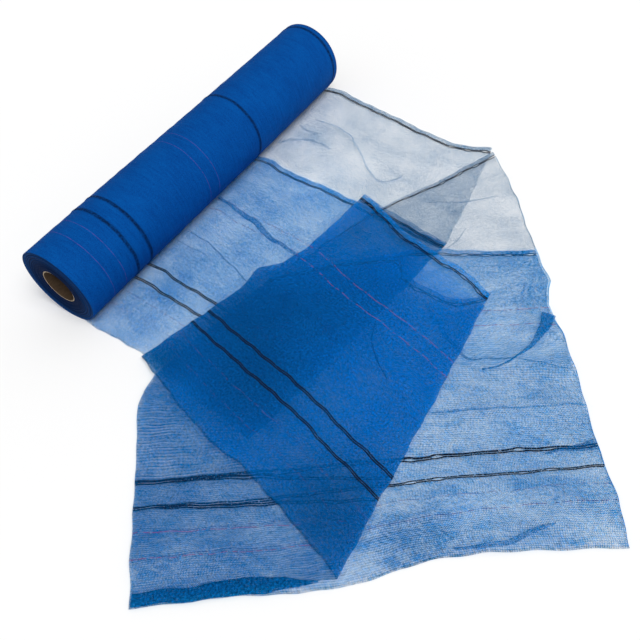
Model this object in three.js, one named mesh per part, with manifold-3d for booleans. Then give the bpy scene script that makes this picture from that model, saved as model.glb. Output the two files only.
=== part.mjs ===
// A roll of blue debris netting on a cardboard core, with its loose end drawn off and folded on the floor.
// Millimetres, +Z up. The roll lies along X, and its loose end comes out from under it towards -Y.
import * as THREE from 'three';
import Module from 'manifold-3d';
import { mergeVertices } from 'three/addons/utils/BufferGeometryUtils.js';

const wasm = await Module();
wasm.setup();

// Driving sizes
const netWidth = 2020; // over both selvedges
const drawnWidth = 1232; // the net is folded lengthwise, off centre, and wound at this width
const rollRadius = 123;
const coreOutsideRadius = 55;
const coreWall = 4.2;
const coreRecess = 1.5;
const fitGap = 0.3;
const flatSpotDepth = 2.6; // the wraps are pressed flat by this much where the roll rests
const plyThickness = 1.5;
const plyPitch = 4;
const slackDepth = 0.9; // how far the outer wraps lie off a true circle
const barrelDepth = 0.8; // how much fatter the roll is at mid length
const endWave = 5; // how far the wraps wander past the roll's ends
const endStep = 1.2; // the outermost wraps stand this far past the ends
const rippleHeight = 0.8; // the net on the floor is nowhere quite flat
const eyeletLength = 20;
const eyeletWidth = 6.5;
const eyeletPitch = 58;
const eyeletLine = 21; // from the selvedge to the middle of its eyelets
const stripWidth = 2 * eyeletLine;

// Shares of the drawn width, counted from the far selvedge (0) to the lengthwise fold at the near end (1)
const secondSelvedge = 2 - netWidth / drawnWidth;
const centreBand = 0.829;
const eyeletShare = eyeletLine / drawnWidth;
const stripShare = stripWidth / drawnWidth;
const stripGap = (1.6 * fitGap) / drawnWidth; // wide enough where the net is drawn in

// Mesh densities
const roundSteps = 48;
const coreRoundSteps = 48;
const rollLengthSteps = 22;
const turnSteps = 4;
const doubleColumns = 20;
const singleColumns = 7;
const eyeletEndSteps = 4;

const colours = { net: 0x0b4aa0, netEnd: 0x3f7fc4, band: 0x1a2c4a, card: 0x8a6f4c };

const axisHeight = rollRadius - flatSpotDepth;
const startLine = -38; // the loose end starts here, clear of the roll's curve

// Folds of the loose end, in the order in which the net reaches them: share of the width, x, y.
// x and y are counted from the middle of the roll's near end, on the floor.
const foldLines = {
  leavesRoll: [
    [1, 0, startLine], [centreBand, 222, startLine], [secondSelvedge, 807, startLine], [0, 1249, startLine],
  ],
  outerTurn: [
    [1, -92, -697], [centreBand, 100, -735], [0.6, 390, -782], [secondSelvedge, 668, -819],
    [0.18, 880, -795], [0, 1112, -757],
  ],
  innerTurn: [
    [1, -33, -299], [centreBand, 144, -354], [0.72, 277, -396], [0.655, 362, -393],
    [0.62, 405, -446], [0.5485, 500, -480], [secondSelvedge, 755, -512],
  ],
  frontTurn: [
    [1, -264, -1048], [centreBand, -52, -1037], [0.6, 240, -1024], [secondSelvedge, 542, -1004],
  ],
  leftTurn: [
    [1, -521, -719], [centreBand, -332, -552], [0.72, -146, -390], [0.66, -60, -368],
    [0.56, 95, -395], [secondSelvedge, 348, -446], [0, 372, -450],
  ],
  freeEnd: [
    [1, 59, -1502], [0.93, 150, -1450], [centreBand, 223, -1393], [0.68, 380, -1292], [0.6, 505, -1205],
    [0.54, 572, -1146], [0.47, 650, -1120], [secondSelvedge, 740, -1046], [0.18, 925, -915], [0, 1092, -768],
  ],
};

// Plies between those folds: how far each edge or band bows from a straight line, as points on its way.
// rows is the number of rows of faces along the ply, and whole says that its single part is spread out too.
const plies = [
  {
    from: 'leavesRoll', to: 'outerTurn', level: 'floor', rows: 12, whole: true,
    ways: [
      { share: 1, via: [[-10, -106], [-11, -185], [-25, -370], [-60, -530]] },
      { share: centreBand, via: [[218, -118], [200, -210], [180, -362], [141, -550]] },
      { share: secondSelvedge, via: [[809, -108], [777, -210], [755, -370], [708, -600]] },
      { share: 0, via: [[1247, -108], [1212, -215], [1168, -370], [1098, -620]] },
    ],
  },
  {
    from: 'outerTurn', to: 'innerTurn', level: 'second', rows: 6, whole: false,
    ways: [{ share: 1, via: [] }, { share: secondSelvedge, via: [] }],
  },
  {
    from: 'innerTurn', to: 'frontTurn', level: 'top', rows: 12, whole: false,
    ways: [
      { share: 1, via: [[-109, -510], [-148, -642], [-166, -755], [-222, -935]] },
      { share: centreBand, via: [[107, -499], [47, -734], [-12, -912]] },
      { share: secondSelvedge, via: [[712, -600], [662, -740], [626, -839], [588, -932]] },
    ],
  },
  {
    from: 'frontTurn', to: 'leftTurn', level: 'fourth', rows: 10, whole: false,
    ways: [
      { share: 1, via: [[-395, -885]] },
      { share: secondSelvedge, via: [[530, -904], [545, -800], [480, -600]] },
    ],
  },
  {
    from: 'leftTurn', to: 'freeEnd', level: 'third', rows: 17, whole: true,
    ways: [
      { share: 1, via: [[-434, -831], [-287, -1047], [-131, -1203], [-3, -1392]] },
      { share: centreBand, via: [[-178, -796], [-98, -910], [-5, -1046]] },
      { share: secondSelvedge, via: [[405, -500], [487, -606], [592, -735], [660, -880]] },
      { share: 0, via: [[470, -492], [560, -516], [735, -585], [910, -682]] },
    ],
  },
];

// Where the net lies single, its far selvedge is a strip with a row of open eyelets. It starts at a row
// of its ply, and its first eyelet comes a little after that.
const eyeletStrips = [
  { name: 'back_eyelet_strip', ply: 0, firstRow: 1, eyelets: 12, lead: 16 },
  { name: 'front_eyelet_strip', ply: 4, firstRow: 9, eyelets: 6, lead: 40 },
];

// Soft ridges where the net has creased: ends in x and y, height and half width
const creases = [
  { name: 'longPleat', x0: 560, y0: -150, x1: 560, y1: -330, height: 5, spread: 34 },
  { name: 'farCurl', x0: 1010, y0: -250, x1: 900, y1: -400, height: 7, spread: 36 },
  { name: 'frontCrease', x0: 380, y0: -1130, x1: 410, y1: -1240, height: 5, spread: 34 },
  { name: 'endPleat', x0: 540, y0: -1140, x1: 400, y1: -1130, height: 7, spread: 34 },
  { name: 'lowCrease', x0: 220, y0: -1160, x1: 320, y1: -1300, height: 5, spread: 34 },
  { name: 'cornerCrease', x0: -50, y0: -1275, x1: 50, y1: -1365, height: 6, spread: 30 },
  { name: 'leftRipple', x0: -420, y0: -680, x1: -330, y1: -620, height: 5, spread: 60 },
];
const flatNearRoll = 60; // ridges fade out over this length before the roll
const liftMargin = 25; // a ply stays raised this far past the edge of the plies under it
const liftFade = 150; // and comes down over this length

function smooth(x) {
  const s = Math.min(1, Math.max(0, x));
  return s * s * (3 - 2 * s);
}

// The point at a share of the width on a fold line
function onFold(line, share) {
  let i = 0;
  while (i < line.length - 2 && line[i + 1][0] > share) i += 1;
  const [shareA, xA, yA] = line[i];
  const [shareB, xB, yB] = line[i + 1];
  const k = (share - shareA) / (shareB - shareA);
  return new THREE.Vector2(xA + k * (xB - xA), yA + k * (yB - yA));
}

// How far a way bows from the straight line between its two folds, at a share u of its length
function bowOf(ply, way, u) {
  const start = onFold(foldLines[ply.from], way.share);
  const end = onFold(foldLines[ply.to], way.share);
  const middle = way.via.map(([x, y]) => new THREE.Vector2(x, y));
  const curve = new THREE.SplineCurve([start, ...middle, end]);
  return curve.getPointAt(u).sub(start.lerp(end, u));
}

// The place of a ply in plan, at a share of the width and a share u of the way between its folds
function planPoint(ply, share, u) {
  const point = onFold(foldLines[ply.from], share).lerp(onFold(foldLines[ply.to], share), u);
  const ways = ply.ways;
  let i = 1;
  while (i < ways.length - 1 && ways[i].share > share) i += 1;
  const k = (ways[i - 1].share - share) / (ways[i - 1].share - ways[i].share);
  const bow = bowOf(ply, ways[i - 1], u).lerp(bowOf(ply, ways[i], u), k);
  return point.add(bow);
}

function distanceToSegment(p, a, b) {
  const along = b.clone().sub(a);
  const k = THREE.MathUtils.clamp(p.clone().sub(a).dot(along) / along.lengthSq(), 0, 1);
  return p.distanceTo(a.clone().addScaledVector(along, k));
}

// Signed distance in plan from an outline, negative inside it
function distanceOutside(p, outline) {
  let nearest = Infinity;
  let inside = false;
  outline.forEach((a, i) => {
    const b = outline[(i + 1) % outline.length];
    nearest = Math.min(nearest, distanceToSegment(p, a, b));
    const crosses = a.y > p.y !== b.y > p.y;
    if (crosses && p.x < a.x + ((p.y - a.y) * (b.x - a.x)) / (b.y - a.y)) inside = !inside;
  });
  return inside ? -nearest : nearest;
}

// The shares of the width at which a ply has columns of points, from the lengthwise fold on
function widthShares(whole) {
  const shares = [];
  for (let i = 0; i <= doubleColumns; i += 1) shares.push(1 - (i / doubleColumns) * (1 - secondSelvedge));
  if (!whole) return shares;
  for (let i = 1; i <= singleColumns; i += 1) {
    shares.push(secondSelvedge + (i / singleColumns) * (stripShare - secondSelvedge));
  }
  return [...shares, 0];
}

function outlineOf(ply) {
  const across = widthShares(ply.whole);
  const along = [0.2, 0.4, 0.6, 0.8];
  const farEdge = across[across.length - 1];
  return [
    ...across.map((share) => planPoint(ply, share, 0)),
    ...along.map((u) => planPoint(ply, farEdge, u)),
    ...[...across].reverse().map((share) => planPoint(ply, share, 1)),
    ...[...along].reverse().map((u) => planPoint(ply, 1, u)),
  ];
}

const underlyingOutlines = [outlineOf(plies[0]), outlineOf(plies[1])];

// Plies that lie over the first two are raised by one pitch for each of them
function liftAt(p) {
  return underlyingOutlines.reduce((sum, outline) => {
    const past = distanceOutside(p, outline) - liftMargin;
    return sum + plyPitch * (1 - smooth(past / liftFade));
  }, 0);
}

function creaseHeight(p) {
  const fade = smooth((-p.y - flatNearRoll) / flatNearRoll);
  const ripple = rippleHeight * (1 + Math.sin(p.x / 95 + 1.3) * Math.sin(p.y / 120 + p.x / 380));
  return fade * creases.reduce((sum, crease) => {
    const a = new THREE.Vector2(crease.x0, crease.y0);
    const b = new THREE.Vector2(crease.x1, crease.y1);
    const d = distanceToSegment(p, a, b) / crease.spread;
    return sum + crease.height * Math.exp(-d * d);
  }, ripple);
}

const pliesOver = { third: 0, fourth: 1, top: 2 };

function heightOf(ply, p) {
  const base = plyThickness / 2 + creaseHeight(p);
  if (ply.level === 'floor') return base;
  if (ply.level === 'second') return base + plyPitch;
  return base + liftAt(p) + plyPitch * pliesOver[ply.level];
}

function plyPoint(ply, share, u) {
  const p = planPoint(ply, share, u);
  return new THREE.Vector3(p.x, p.y, heightOf(ply, p));
}

// Between two plies the net turns back on itself round a half circle that stands past the fold line
function turnRow(ply, nextPly, share, k) {
  const before = plyPoint(ply, share, 1);
  const after = plyPoint(nextPly, share, 0);
  const line = foldLines[ply.to];
  const alongFold = onFold(line, Math.min(1, share + 0.03)).sub(onFold(line, share - 0.03));
  const outward = new THREE.Vector3(alongFold.y, -alongFold.x, 0).normalize();
  if (outward.dot(before.clone().sub(plyPoint(ply, share, 0.9))) < 0) outward.negate();
  const rise = (after.z - before.z) / 2;
  const height = before.z + rise * (1 - Math.cos(Math.PI * k));
  return before.addScaledVector(outward, Math.abs(rise) * Math.sin(Math.PI * k)).setZ(height);
}

// Rows of points along the loose end. A row of a ply with only its double part is shorter, and so is one
// whose far selvedge is an eyelet strip.
function looseEndRows() {
  const rows = [];
  plies.forEach((ply, n) => {
    const strip = eyeletStrips.find((candidate) => candidate.ply === n);
    for (let i = 0; i <= ply.rows; i += 1) {
      const beside = strip && i >= strip.firstRow;
      const shares = widthShares(ply.whole).filter((share) => !beside || share > 0);
      rows.push(shares.map((share) => plyPoint(ply, share, i / ply.rows)));
    }
    if (n === plies.length - 1) return;
    for (let i = 1; i < turnSteps; i += 1) {
      rows.push(widthShares(false).map((share) => turnRow(ply, plies[n + 1], share, i / turnSteps)));
    }
  });
  return rows;
}

// A closed sheet of even thickness about rows of points, which need not be equally long
function sheetAbout(rows, thickness) {
  const has = (i, j) => i >= 0 && i < rows.length && j >= 0 && j < rows[i].length;
  const near = (i, j, di, dj) => (has(i + di, j + dj) ? rows[i + di][j + dj] : rows[i][j]);
  const positions = [];
  const numbers = rows.map(() => []);
  rows.forEach((row, i) => row.forEach((point, j) => {
    const along = near(i, j, 1, 0).clone().sub(near(i, j, -1, 0));
    const across = near(i, j, 0, 1).clone().sub(near(i, j, 0, -1));
    const normal = along.cross(across).normalize();
    numbers[i].push(positions.length / 3);
    [0.5, -0.5].forEach((side) => positions.push(...point.clone().addScaledVector(normal, side * thickness)));
  }));
  const faces = [];
  const quad = (a, b, c, d) => faces.push(a, b, c, a, c, d);
  const cell = (i, j) => has(i, j) && has(i, j + 1) && has(i + 1, j) && has(i + 1, j + 1);
  const wall = (a, b) => quad(a, a + 1, b + 1, b);
  rows.forEach((row, i) => row.forEach((point, j) => {
    if (!cell(i, j)) return;
    const [a, b, c, d] = [numbers[i][j], numbers[i + 1][j], numbers[i + 1][j + 1], numbers[i][j + 1]];
    quad(a, b, c, d);
    quad(a + 1, d + 1, c + 1, b + 1);
    if (!cell(i, j - 1)) wall(a, b);
    if (!cell(i + 1, j)) wall(b, c);
    if (!cell(i, j + 1)) wall(c, d);
    if (!cell(i - 1, j)) wall(d, a);
  }));
  const geometry = new THREE.BufferGeometry();
  geometry.setAttribute('position', new THREE.Float32BufferAttribute(positions, 3));
  geometry.setIndex(faces);
  geometry.computeVertexNormals();
  return geometry;
}

function solidOf(geometry) {
  const bare = geometry.clone();
  bare.deleteAttribute('normal');
  bare.deleteAttribute('uv');
  const merged = mergeVertices(bare);
  const mesh = new wasm.Mesh({
    numProp: 3,
    vertProperties: merged.attributes.position.array,
    triVerts: new Uint32Array(merged.index.array),
  });
  return new wasm.Manifold(mesh);
}

function geometryOf(solid) {
  const mesh = solid.getMesh();
  const geometry = new THREE.BufferGeometry();
  geometry.setAttribute('position', new THREE.Float32BufferAttribute(mesh.vertProperties, 3));
  geometry.setIndex([...mesh.triVerts]);
  geometry.computeVertexNormals();
  return geometry;
}

// One eyelet's opening, a slot with round ends, upright through the net and turned to lie along it
function eyeletCutter(point, direction) {
  const half = (eyeletLength - eyeletWidth) / 2;
  const outline = new THREE.Shape();
  outline.absarc(half, 0, eyeletWidth / 2, -Math.PI / 2, Math.PI / 2);
  outline.absarc(-half, 0, eyeletWidth / 2, Math.PI / 2, (3 * Math.PI) / 2);
  const depth = 8 * plyThickness;
  const slot = new THREE.ExtrudeGeometry(outline, { depth, bevelEnabled: false, curveSegments: eyeletEndSteps });
  slot.translate(0, 0, -depth / 2);
  slot.rotateZ(Math.atan2(direction.y, direction.x));
  return slot.translate(point.x, point.y, point.z);
}

function eyeletStrip(strip) {
  const ply = plies[strip.ply];
  const start = strip.firstRow / ply.rows;
  const rows = [];
  for (let i = strip.firstRow; i <= ply.rows; i += 1) {
    const u = i === strip.firstRow ? start + stripGap : i / ply.rows;
    rows.push([stripShare - stripGap, eyeletShare, 0].map((share) => plyPoint(ply, share, u)));
  }
  let solid = solidOf(sheetAbout(rows, plyThickness));
  const steps = 400;
  let walked = 0;
  let placed = 0;
  for (let i = 1; i <= steps && placed < strip.eyelets; i += 1) {
    const before = plyPoint(ply, eyeletShare, start + ((i - 1) / steps) * (1 - start));
    const here = plyPoint(ply, eyeletShare, start + (i / steps) * (1 - start));
    walked += here.distanceTo(before);
    if (walked >= strip.lead + placed * eyeletPitch) {
      solid = solid.subtract(solidOf(eyeletCutter(here, here.clone().sub(before))));
      placed += 1;
    }
  }
  return geometryOf(solid);
}

// The outside of the roll: wraps that are not all equally tight, pressed flat where they rest
function wrapRadius(x, angle) {
  const slack = slackDepth * Math.sin(x / 190 + 0.6) * Math.sin(angle + 0.4);
  const barrel = barrelDepth * Math.sin((Math.PI * x) / drawnWidth);
  return rollRadius + slack + barrel - (slackDepth + barrelDepth) / 2;
}

// How far the wraps stand past each end of the roll, by how far out they lie
function endOffset(radius, angle) {
  const out = (radius - coreOutsideRadius) / (rollRadius - coreOutsideRadius);
  return endWave * Math.sin(out * 7 + angle) * out * (1 - out) + endStep * out;
}

function woundRoll() {
  const bore = coreOutsideRadius + fitGap;
  const ringRadii = [0.25, 0.5, 0.75].map((k) => bore + k * (rollRadius - bore));
  const profile = [];
  const addRing = (place, axial) => profile.push({ place, axial });
  for (let i = 0; i <= rollLengthSteps; i += 1) addRing('outer', i / rollLengthSteps);
  [...ringRadii].reverse().forEach((r) => addRing(r, 1));
  addRing('bore', 1);
  addRing('bore', 0);
  ringRadii.forEach((r) => addRing(r, 0));
  const positions = [];
  profile.forEach(({ place, axial }) => {
    for (let j = 0; j < roundSteps; j += 1) {
      const angle = (2 * Math.PI * (j + 0.5)) / roundSteps;
      const along = axial * drawnWidth;
      const radius = place === 'outer' ? wrapRadius(along, angle) : place === 'bore' ? bore : place;
      const atEnd = axial === 0 || axial === 1;
      const past = place !== 'bore' && atEnd ? endOffset(radius, angle) * (axial === 0 ? -1 : 1) : 0;
      const y = radius * Math.cos(angle);
      const z = Math.max(0, axisHeight + radius * Math.sin(angle));
      positions.push(along + past, y, z);
    }
  });
  const faces = [];
  const rings = profile.length;
  for (let i = 0; i < rings; i += 1) {
    for (let j = 0; j < roundSteps; j += 1) {
      const nextRing = ((i + 1) % rings) * roundSteps;
      const nextStep = (j + 1) % roundSteps;
      const a = i * roundSteps + j;
      const b = i * roundSteps + nextStep;
      faces.push(a, nextRing + nextStep, nextRing + j, a, b, nextRing + nextStep);
    }
  }
  const geometry = new THREE.BufferGeometry();
  geometry.setAttribute('position', new THREE.Float32BufferAttribute(positions, 3));
  geometry.setIndex(faces);
  geometry.computeVertexNormals();
  return geometry;
}

function core() {
  const inside = coreOutsideRadius - coreWall;
  const length = drawnWidth - 2 * coreRecess;
  const section = [
    new THREE.Vector2(inside, 0),
    new THREE.Vector2(coreOutsideRadius, 0),
    new THREE.Vector2(coreOutsideRadius, length),
    new THREE.Vector2(inside, length),
    new THREE.Vector2(inside, 0),
  ];
  return new THREE.LatheGeometry(section, coreRoundSteps);
}

function netMaterial(colour) {
  return new THREE.MeshStandardMaterial({ color: colour, roughness: 0.7, metalness: 0 });
}

function named(name, geometry, material) {
  const mesh = new THREE.Mesh(geometry, material);
  mesh.name = name;
  return mesh;
}

const coreMesh = named('core', core(), new THREE.MeshStandardMaterial({ color: colours.card, roughness: 0.9 }));
coreMesh.rotation.z = -Math.PI / 2;
coreMesh.position.set(coreRecess, 0, axisHeight);
const rollMesh = named('wound_roll', woundRoll(), netMaterial(colours.net));
const endMesh = named('loose_end', sheetAbout(looseEndRows(), plyThickness), netMaterial(colours.netEnd));
const stripMeshes = eyeletStrips.map((strip) => named(strip.name, eyeletStrip(strip), netMaterial(colours.band)));

// The origin is on the floor, under the middle of the whole thing
const group = new THREE.Group();
group.add(coreMesh, rollMesh, endMesh, ...stripMeshes);
group.updateMatrixWorld(true);
const box = new THREE.Box3().setFromObject(group, true);
const middle = box.getCenter(new THREE.Vector3());
group.position.set(-middle.x, -middle.y, -box.min.z);

export default group;
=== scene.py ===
# A roll of blue debris netting with its loose end drawn off and folded on the floor.
# Metres, +Z up. The roll lies along X and the loose end comes out from under it towards -Y.
import math

import bpy
import numpy as np
from mathutils import Matrix, Vector


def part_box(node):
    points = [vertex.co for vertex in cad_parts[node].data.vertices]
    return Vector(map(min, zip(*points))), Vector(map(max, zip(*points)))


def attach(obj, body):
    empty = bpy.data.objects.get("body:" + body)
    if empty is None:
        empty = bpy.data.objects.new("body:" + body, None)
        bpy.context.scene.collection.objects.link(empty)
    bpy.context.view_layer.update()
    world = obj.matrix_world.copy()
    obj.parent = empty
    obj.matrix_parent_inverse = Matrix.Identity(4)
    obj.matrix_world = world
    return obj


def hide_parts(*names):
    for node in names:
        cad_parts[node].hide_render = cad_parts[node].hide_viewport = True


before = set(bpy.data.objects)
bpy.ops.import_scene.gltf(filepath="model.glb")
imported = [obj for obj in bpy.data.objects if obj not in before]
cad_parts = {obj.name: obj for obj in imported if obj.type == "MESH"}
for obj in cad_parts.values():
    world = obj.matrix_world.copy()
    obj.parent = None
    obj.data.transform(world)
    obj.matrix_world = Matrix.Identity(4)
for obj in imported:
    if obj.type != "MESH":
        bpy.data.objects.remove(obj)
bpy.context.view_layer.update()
print("frame loaded")

# Places on the floor are counted from the middle of the roll's near end
coreRecess = 0.0015
coreLow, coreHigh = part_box("core")
drawnWidth = coreHigh[0] - coreLow[0] + 2 * coreRecess
coreRadius = (coreHigh[1] - coreLow[1]) / 2
axisHeight = (coreHigh[2] + coreLow[2]) / 2
nearEnd = np.array([coreLow[0] - coreRecess, (coreLow[1] + coreHigh[1]) / 2])

netSizes = {
    "width": 2.020,  # over both selvedges
    "layerGap": 0.0006,  # between the two layers of the double part
    "plyPitch": 0.004,
    "floorGap": 0.00075,
    "rowStep": 0.0084,
    "columnStep": 0.0086,
    "turnRows": 6,
    "liftMargin": 0.025,
    "liftFade": 0.150,
    "flatNearRoll": 0.060,
    "ripple": 0.0011,
    "fineRipple": 0.0007,
    "wander": 0.0012,  # unevenness in plan
    "foldFade": 0.012,  # the two layers part over this share of the width beside the fold
    "pullBack": 0.006,  # the second layer ends short of the first at the cut end, over part of the width
    "pulledPlace": 0.46,
    "pulledHalf": 0.11,
    "pulledRows": 10,
}
secondSelvedge = 2 - netSizes["width"] / drawnWidth  # shares of the drawn width, from the far selvedge
centreBand = 0.829
tuckedFold = 0.395  # where the upper layer turns under, on the plies whose single part is tucked away

# Bands and marker threads by their place across the flat net, in shares of the drawn width
bandPlaces = (0.017, 0.806, 0.852, 1.6245)
threadPlaces = (0.549, 0.584, 1.068, 1.108)

# Folds of the loose end, in the order in which the net reaches them: share of the width, x, y
foldLines = {
    "leavesRoll": [
        (1, 0, -0.031), (centreBand, 0.222, -0.031), (secondSelvedge, 0.807, -0.031), (0, 1.249, -0.031),
    ],
    "outerTurn": [
        (1, -0.092, -0.697), (centreBand, 0.100, -0.735), (0.6, 0.390, -0.782),
        (secondSelvedge, 0.668, -0.819), (0.18, 0.880, -0.795), (0, 1.112, -0.757),
    ],
    "innerTurn": [
        (1, -0.033, -0.299), (centreBand, 0.144, -0.354), (0.72, 0.277, -0.396), (0.655, 0.362, -0.393),
        (0.62, 0.405, -0.446), (0.5485, 0.500, -0.480), (secondSelvedge, 0.755, -0.512),
    ],
    "frontTurn": [
        (1, -0.264, -1.048), (centreBand, -0.052, -1.037), (0.6, 0.240, -1.024),
        (secondSelvedge, 0.542, -1.004),
    ],
    "leftTurn": [
        (1, -0.521, -0.719), (centreBand, -0.332, -0.552), (0.806, -0.310, -0.533), (0.72, -0.146, -0.390),
        (0.66, -0.060, -0.368), (0.56, 0.095, -0.395), (secondSelvedge, 0.348, -0.446), (0, 0.372, -0.450),
    ],
    "freeEnd": [
        (1, 0.059, -1.502), (0.93, 0.150, -1.450), (centreBand, 0.223, -1.393), (0.68, 0.380, -1.292),
        (0.6, 0.505, -1.205), (0.54, 0.572, -1.146), (0.47, 0.650, -1.120), (secondSelvedge, 0.740, -1.046),
        (0.18, 0.925, -0.915), (0, 1.092, -0.768),
    ],
}

# Plies between those folds. ways tell how an edge or band bows: share of the width, points on its way
plies = [
    {
        "name": "under", "from": "leavesRoll", "to": "outerTurn", "level": "floor", "whole": True,
        "ways": [
            (1, [(-0.010, -0.106), (-0.011, -0.185), (-0.025, -0.370), (-0.060, -0.530)]),
            (centreBand, [(0.218, -0.118), (0.200, -0.210), (0.180, -0.362), (0.141, -0.550)]),
            (secondSelvedge, [(0.809, -0.108), (0.777, -0.210), (0.755, -0.370), (0.708, -0.600)]),
            (0, [(1.247, -0.108), (1.212, -0.215), (1.168, -0.370), (1.098, -0.620)]),
        ],
    },
    {
        "name": "back", "from": "outerTurn", "to": "innerTurn", "level": "second", "whole": False,
        "ways": [(1, []), (secondSelvedge, [])],
    },
    {
        "name": "top", "from": "innerTurn", "to": "frontTurn", "level": "top", "whole": False,
        "ways": [
            (1, [(-0.109, -0.510), (-0.148, -0.642), (-0.166, -0.755), (-0.222, -0.935)]),
            (centreBand, [(0.107, -0.499), (0.047, -0.734), (-0.012, -0.912)]),
            (secondSelvedge, [
                (0.708, -0.606), (0.657, -0.690), (0.635, -0.753), (0.606, -0.835), (0.589, -0.909),
            ]),
        ],
    },
    {
        "name": "left", "from": "frontTurn", "to": "leftTurn", "level": "fourth", "whole": False,
        "ways": [
            (1, [(-0.395, -0.885)]),
            (centreBand, []),
            (secondSelvedge, [
                (0.492, -0.940), (0.490, -0.862), (0.511, -0.786), (0.562, -0.735), (0.512, -0.635),
                (0.448, -0.549),
            ]),
        ],
    },
    {
        "name": "spread", "from": "leftTurn", "to": "freeEnd", "level": "third", "whole": True,
        "ways": [
            (1, [(-0.434, -0.831), (-0.287, -1.047), (-0.131, -1.203), (-0.003, -1.392)]),
            (centreBand, [(-0.178, -0.796), (-0.098, -0.910), (-0.005, -1.046)]),
            (secondSelvedge, [(0.405, -0.500), (0.487, -0.606), (0.592, -0.735), (0.660, -0.880)]),
            (0, [(0.470, -0.492), (0.560, -0.516), (0.735, -0.585), (0.910, -0.682)]),
        ],
    },
]
pliesOver = {"third": 0, "fourth": 1, "top": 2}

# Soft ridges where the net has creased: ends in x and y, height and half width
creases = [
    (0.560, -0.150, 0.560, -0.330, 0.005, 0.034),
    (1.010, -0.250, 0.900, -0.400, 0.007, 0.036),
    (0.380, -1.130, 0.410, -1.240, 0.005, 0.034),
    (0.540, -1.140, 0.400, -1.130, 0.007, 0.034),
    (0.220, -1.160, 0.320, -1.300, 0.005, 0.034),
    (-0.050, -1.275, 0.050, -1.365, 0.006, 0.030),
    (-0.420, -0.680, -0.330, -0.620, 0.005, 0.060),
    (1.042, -0.200, 0.998, -0.316, 0.004, 0.016),
    (0.998, -0.316, 0.845, -0.475, 0.004, 0.018),
    (0.917, -0.150, 0.930, -0.290, 0.004, 0.022),
    (0.700, -0.200, 0.640, -0.420, 0.004, 0.026),
    (0.807, -0.725, 0.904, -0.870, 0.004, 0.016),
    (0.641, -0.836, 0.738, -0.849, 0.003, 0.014),
    (0.210, -1.116, 0.328, -1.324, 0.003, 0.014),
    (0.377, -1.151, 0.405, -1.260, 0.004, 0.016),
    (0.060, -1.120, 0.140, -1.250, 0.004, 0.022),
    (-0.150, -0.900, -0.060, -1.120, 0.003, 0.030),
    (-0.240, -0.640, -0.120, -0.820, 0.004, 0.034),
    (0.300, -0.560, 0.220, -0.760, 0.004, 0.024),
    (0.480, -0.700, 0.380, -0.900, 0.004, 0.026),
    (0.120, -0.620, 0.060, -0.900, 0.003, 0.028),
]


def smooth(x):
    s = np.clip(x, 0, 1)
    return s * s * (3 - 2 * s)


def onFold(name, shares):
    line = np.array(sorted(foldLines[name]))
    return np.stack([np.interp(shares, line[:, 0], line[:, k]) for k in (1, 2)], axis=-1)


# Points at equal steps along a smooth curve through the given points
def alongCurve(points, places):
    p = np.array([points[0], *points, points[-1]], float)
    k = np.linspace(0, 1, 40, endpoint=False)[:, None]
    pieces = []
    for i in range(1, len(p) - 2):
        start, end = (p[i + 1] - p[i - 1]) / 2, (p[i + 2] - p[i]) / 2
        cubic = 2 * (p[i] - p[i + 1]) + start + end
        square = 3 * (p[i + 1] - p[i]) - 2 * start - end
        pieces.append(cubic * k ** 3 + square * k ** 2 + start * k + p[i])
    dense = np.concatenate([*pieces, p[-1:]])
    steps = np.linalg.norm(np.diff(dense, axis=0), axis=1)
    walked = np.concatenate([[0], np.cumsum(steps)])
    at = np.asarray(places) * walked[-1]
    return np.stack([np.interp(at, walked, dense[:, j]) for j in (0, 1)], axis=-1)


# A slight unevenness in plan, the same for every ply, so that none crosses another. The waves' lengths are
# in the formulas, in metres.
def wandered(points):
    x, y = points[..., 0], points[..., 1]
    near = netSizes["flatNearRoll"]
    size = netSizes["wander"] * smooth((-y - near) / near)
    shiftX = np.sin(y / 0.011 + 2 * np.sin(x / 0.090)) + np.sin(y / 0.026 + x / 0.050 + 1)
    shiftY = np.sin(x / 0.012 + 2 * np.sin(y / 0.080) + 2) + np.sin(x / 0.029 - y / 0.060)
    return points + size[..., None] * np.stack([shiftX, shiftY], axis=-1)


# The places of a ply in plan: a row for each share of its length, a column for each share of the width
def planGrid(ply, shares, places):
    start, end = onFold(ply["from"], shares), onFold(ply["to"], shares)
    places = np.asarray(places, float)
    grid = start[None] + places[:, None, None] * (end - start)[None]
    wayShares, bows = [], []
    for share, via in sorted(ply["ways"]):
        a, b = onFold(ply["from"], share), onFold(ply["to"], share)
        wayShares.append(share)
        bows.append(alongCurve([a, *via, b], places) - (a + places[:, None] * (b - a)))
    bows = np.array(bows)
    for row in range(len(places)):
        for k in (0, 1):
            grid[row, :, k] += np.interp(shares, wayShares, bows[:, row, k])
    return wandered(grid)


def distanceToSegment(points, a, b):
    along = b - a
    k = np.clip(((points - a) @ along) / (along @ along), 0, 1)
    return np.linalg.norm(points - a - k[..., None] * along, axis=-1)


# Distance in plan from an outline, negative inside it
def distanceOutside(points, outline):
    nearest = np.full(points.shape[:-1], np.inf)
    inside = np.zeros(points.shape[:-1], bool)
    for a, b in zip(outline, np.roll(outline, -1, axis=0)):
        nearest = np.minimum(nearest, distanceToSegment(points, a, b))
        if a[1] == b[1]:
            continue
        crosses = (a[1] > points[..., 1]) != (b[1] > points[..., 1])
        inside ^= crosses & (points[..., 0] < a[0] + (b[0] - a[0]) * (points[..., 1] - a[1]) / (b[1] - a[1]))
    return np.where(inside, -nearest, nearest)


def outlineOf(ply):
    shares = np.linspace(1, 0 if ply["whole"] else secondSelvedge, 24)
    places = np.linspace(0, 1, 12)
    grid = planGrid(ply, shares, places)
    return np.concatenate([grid[0], grid[1:-1, -1], grid[-1, ::-1], grid[-2:0:-1, 0]])


underlying = [outlineOf(plies[0]), outlineOf(plies[1])]


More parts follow.
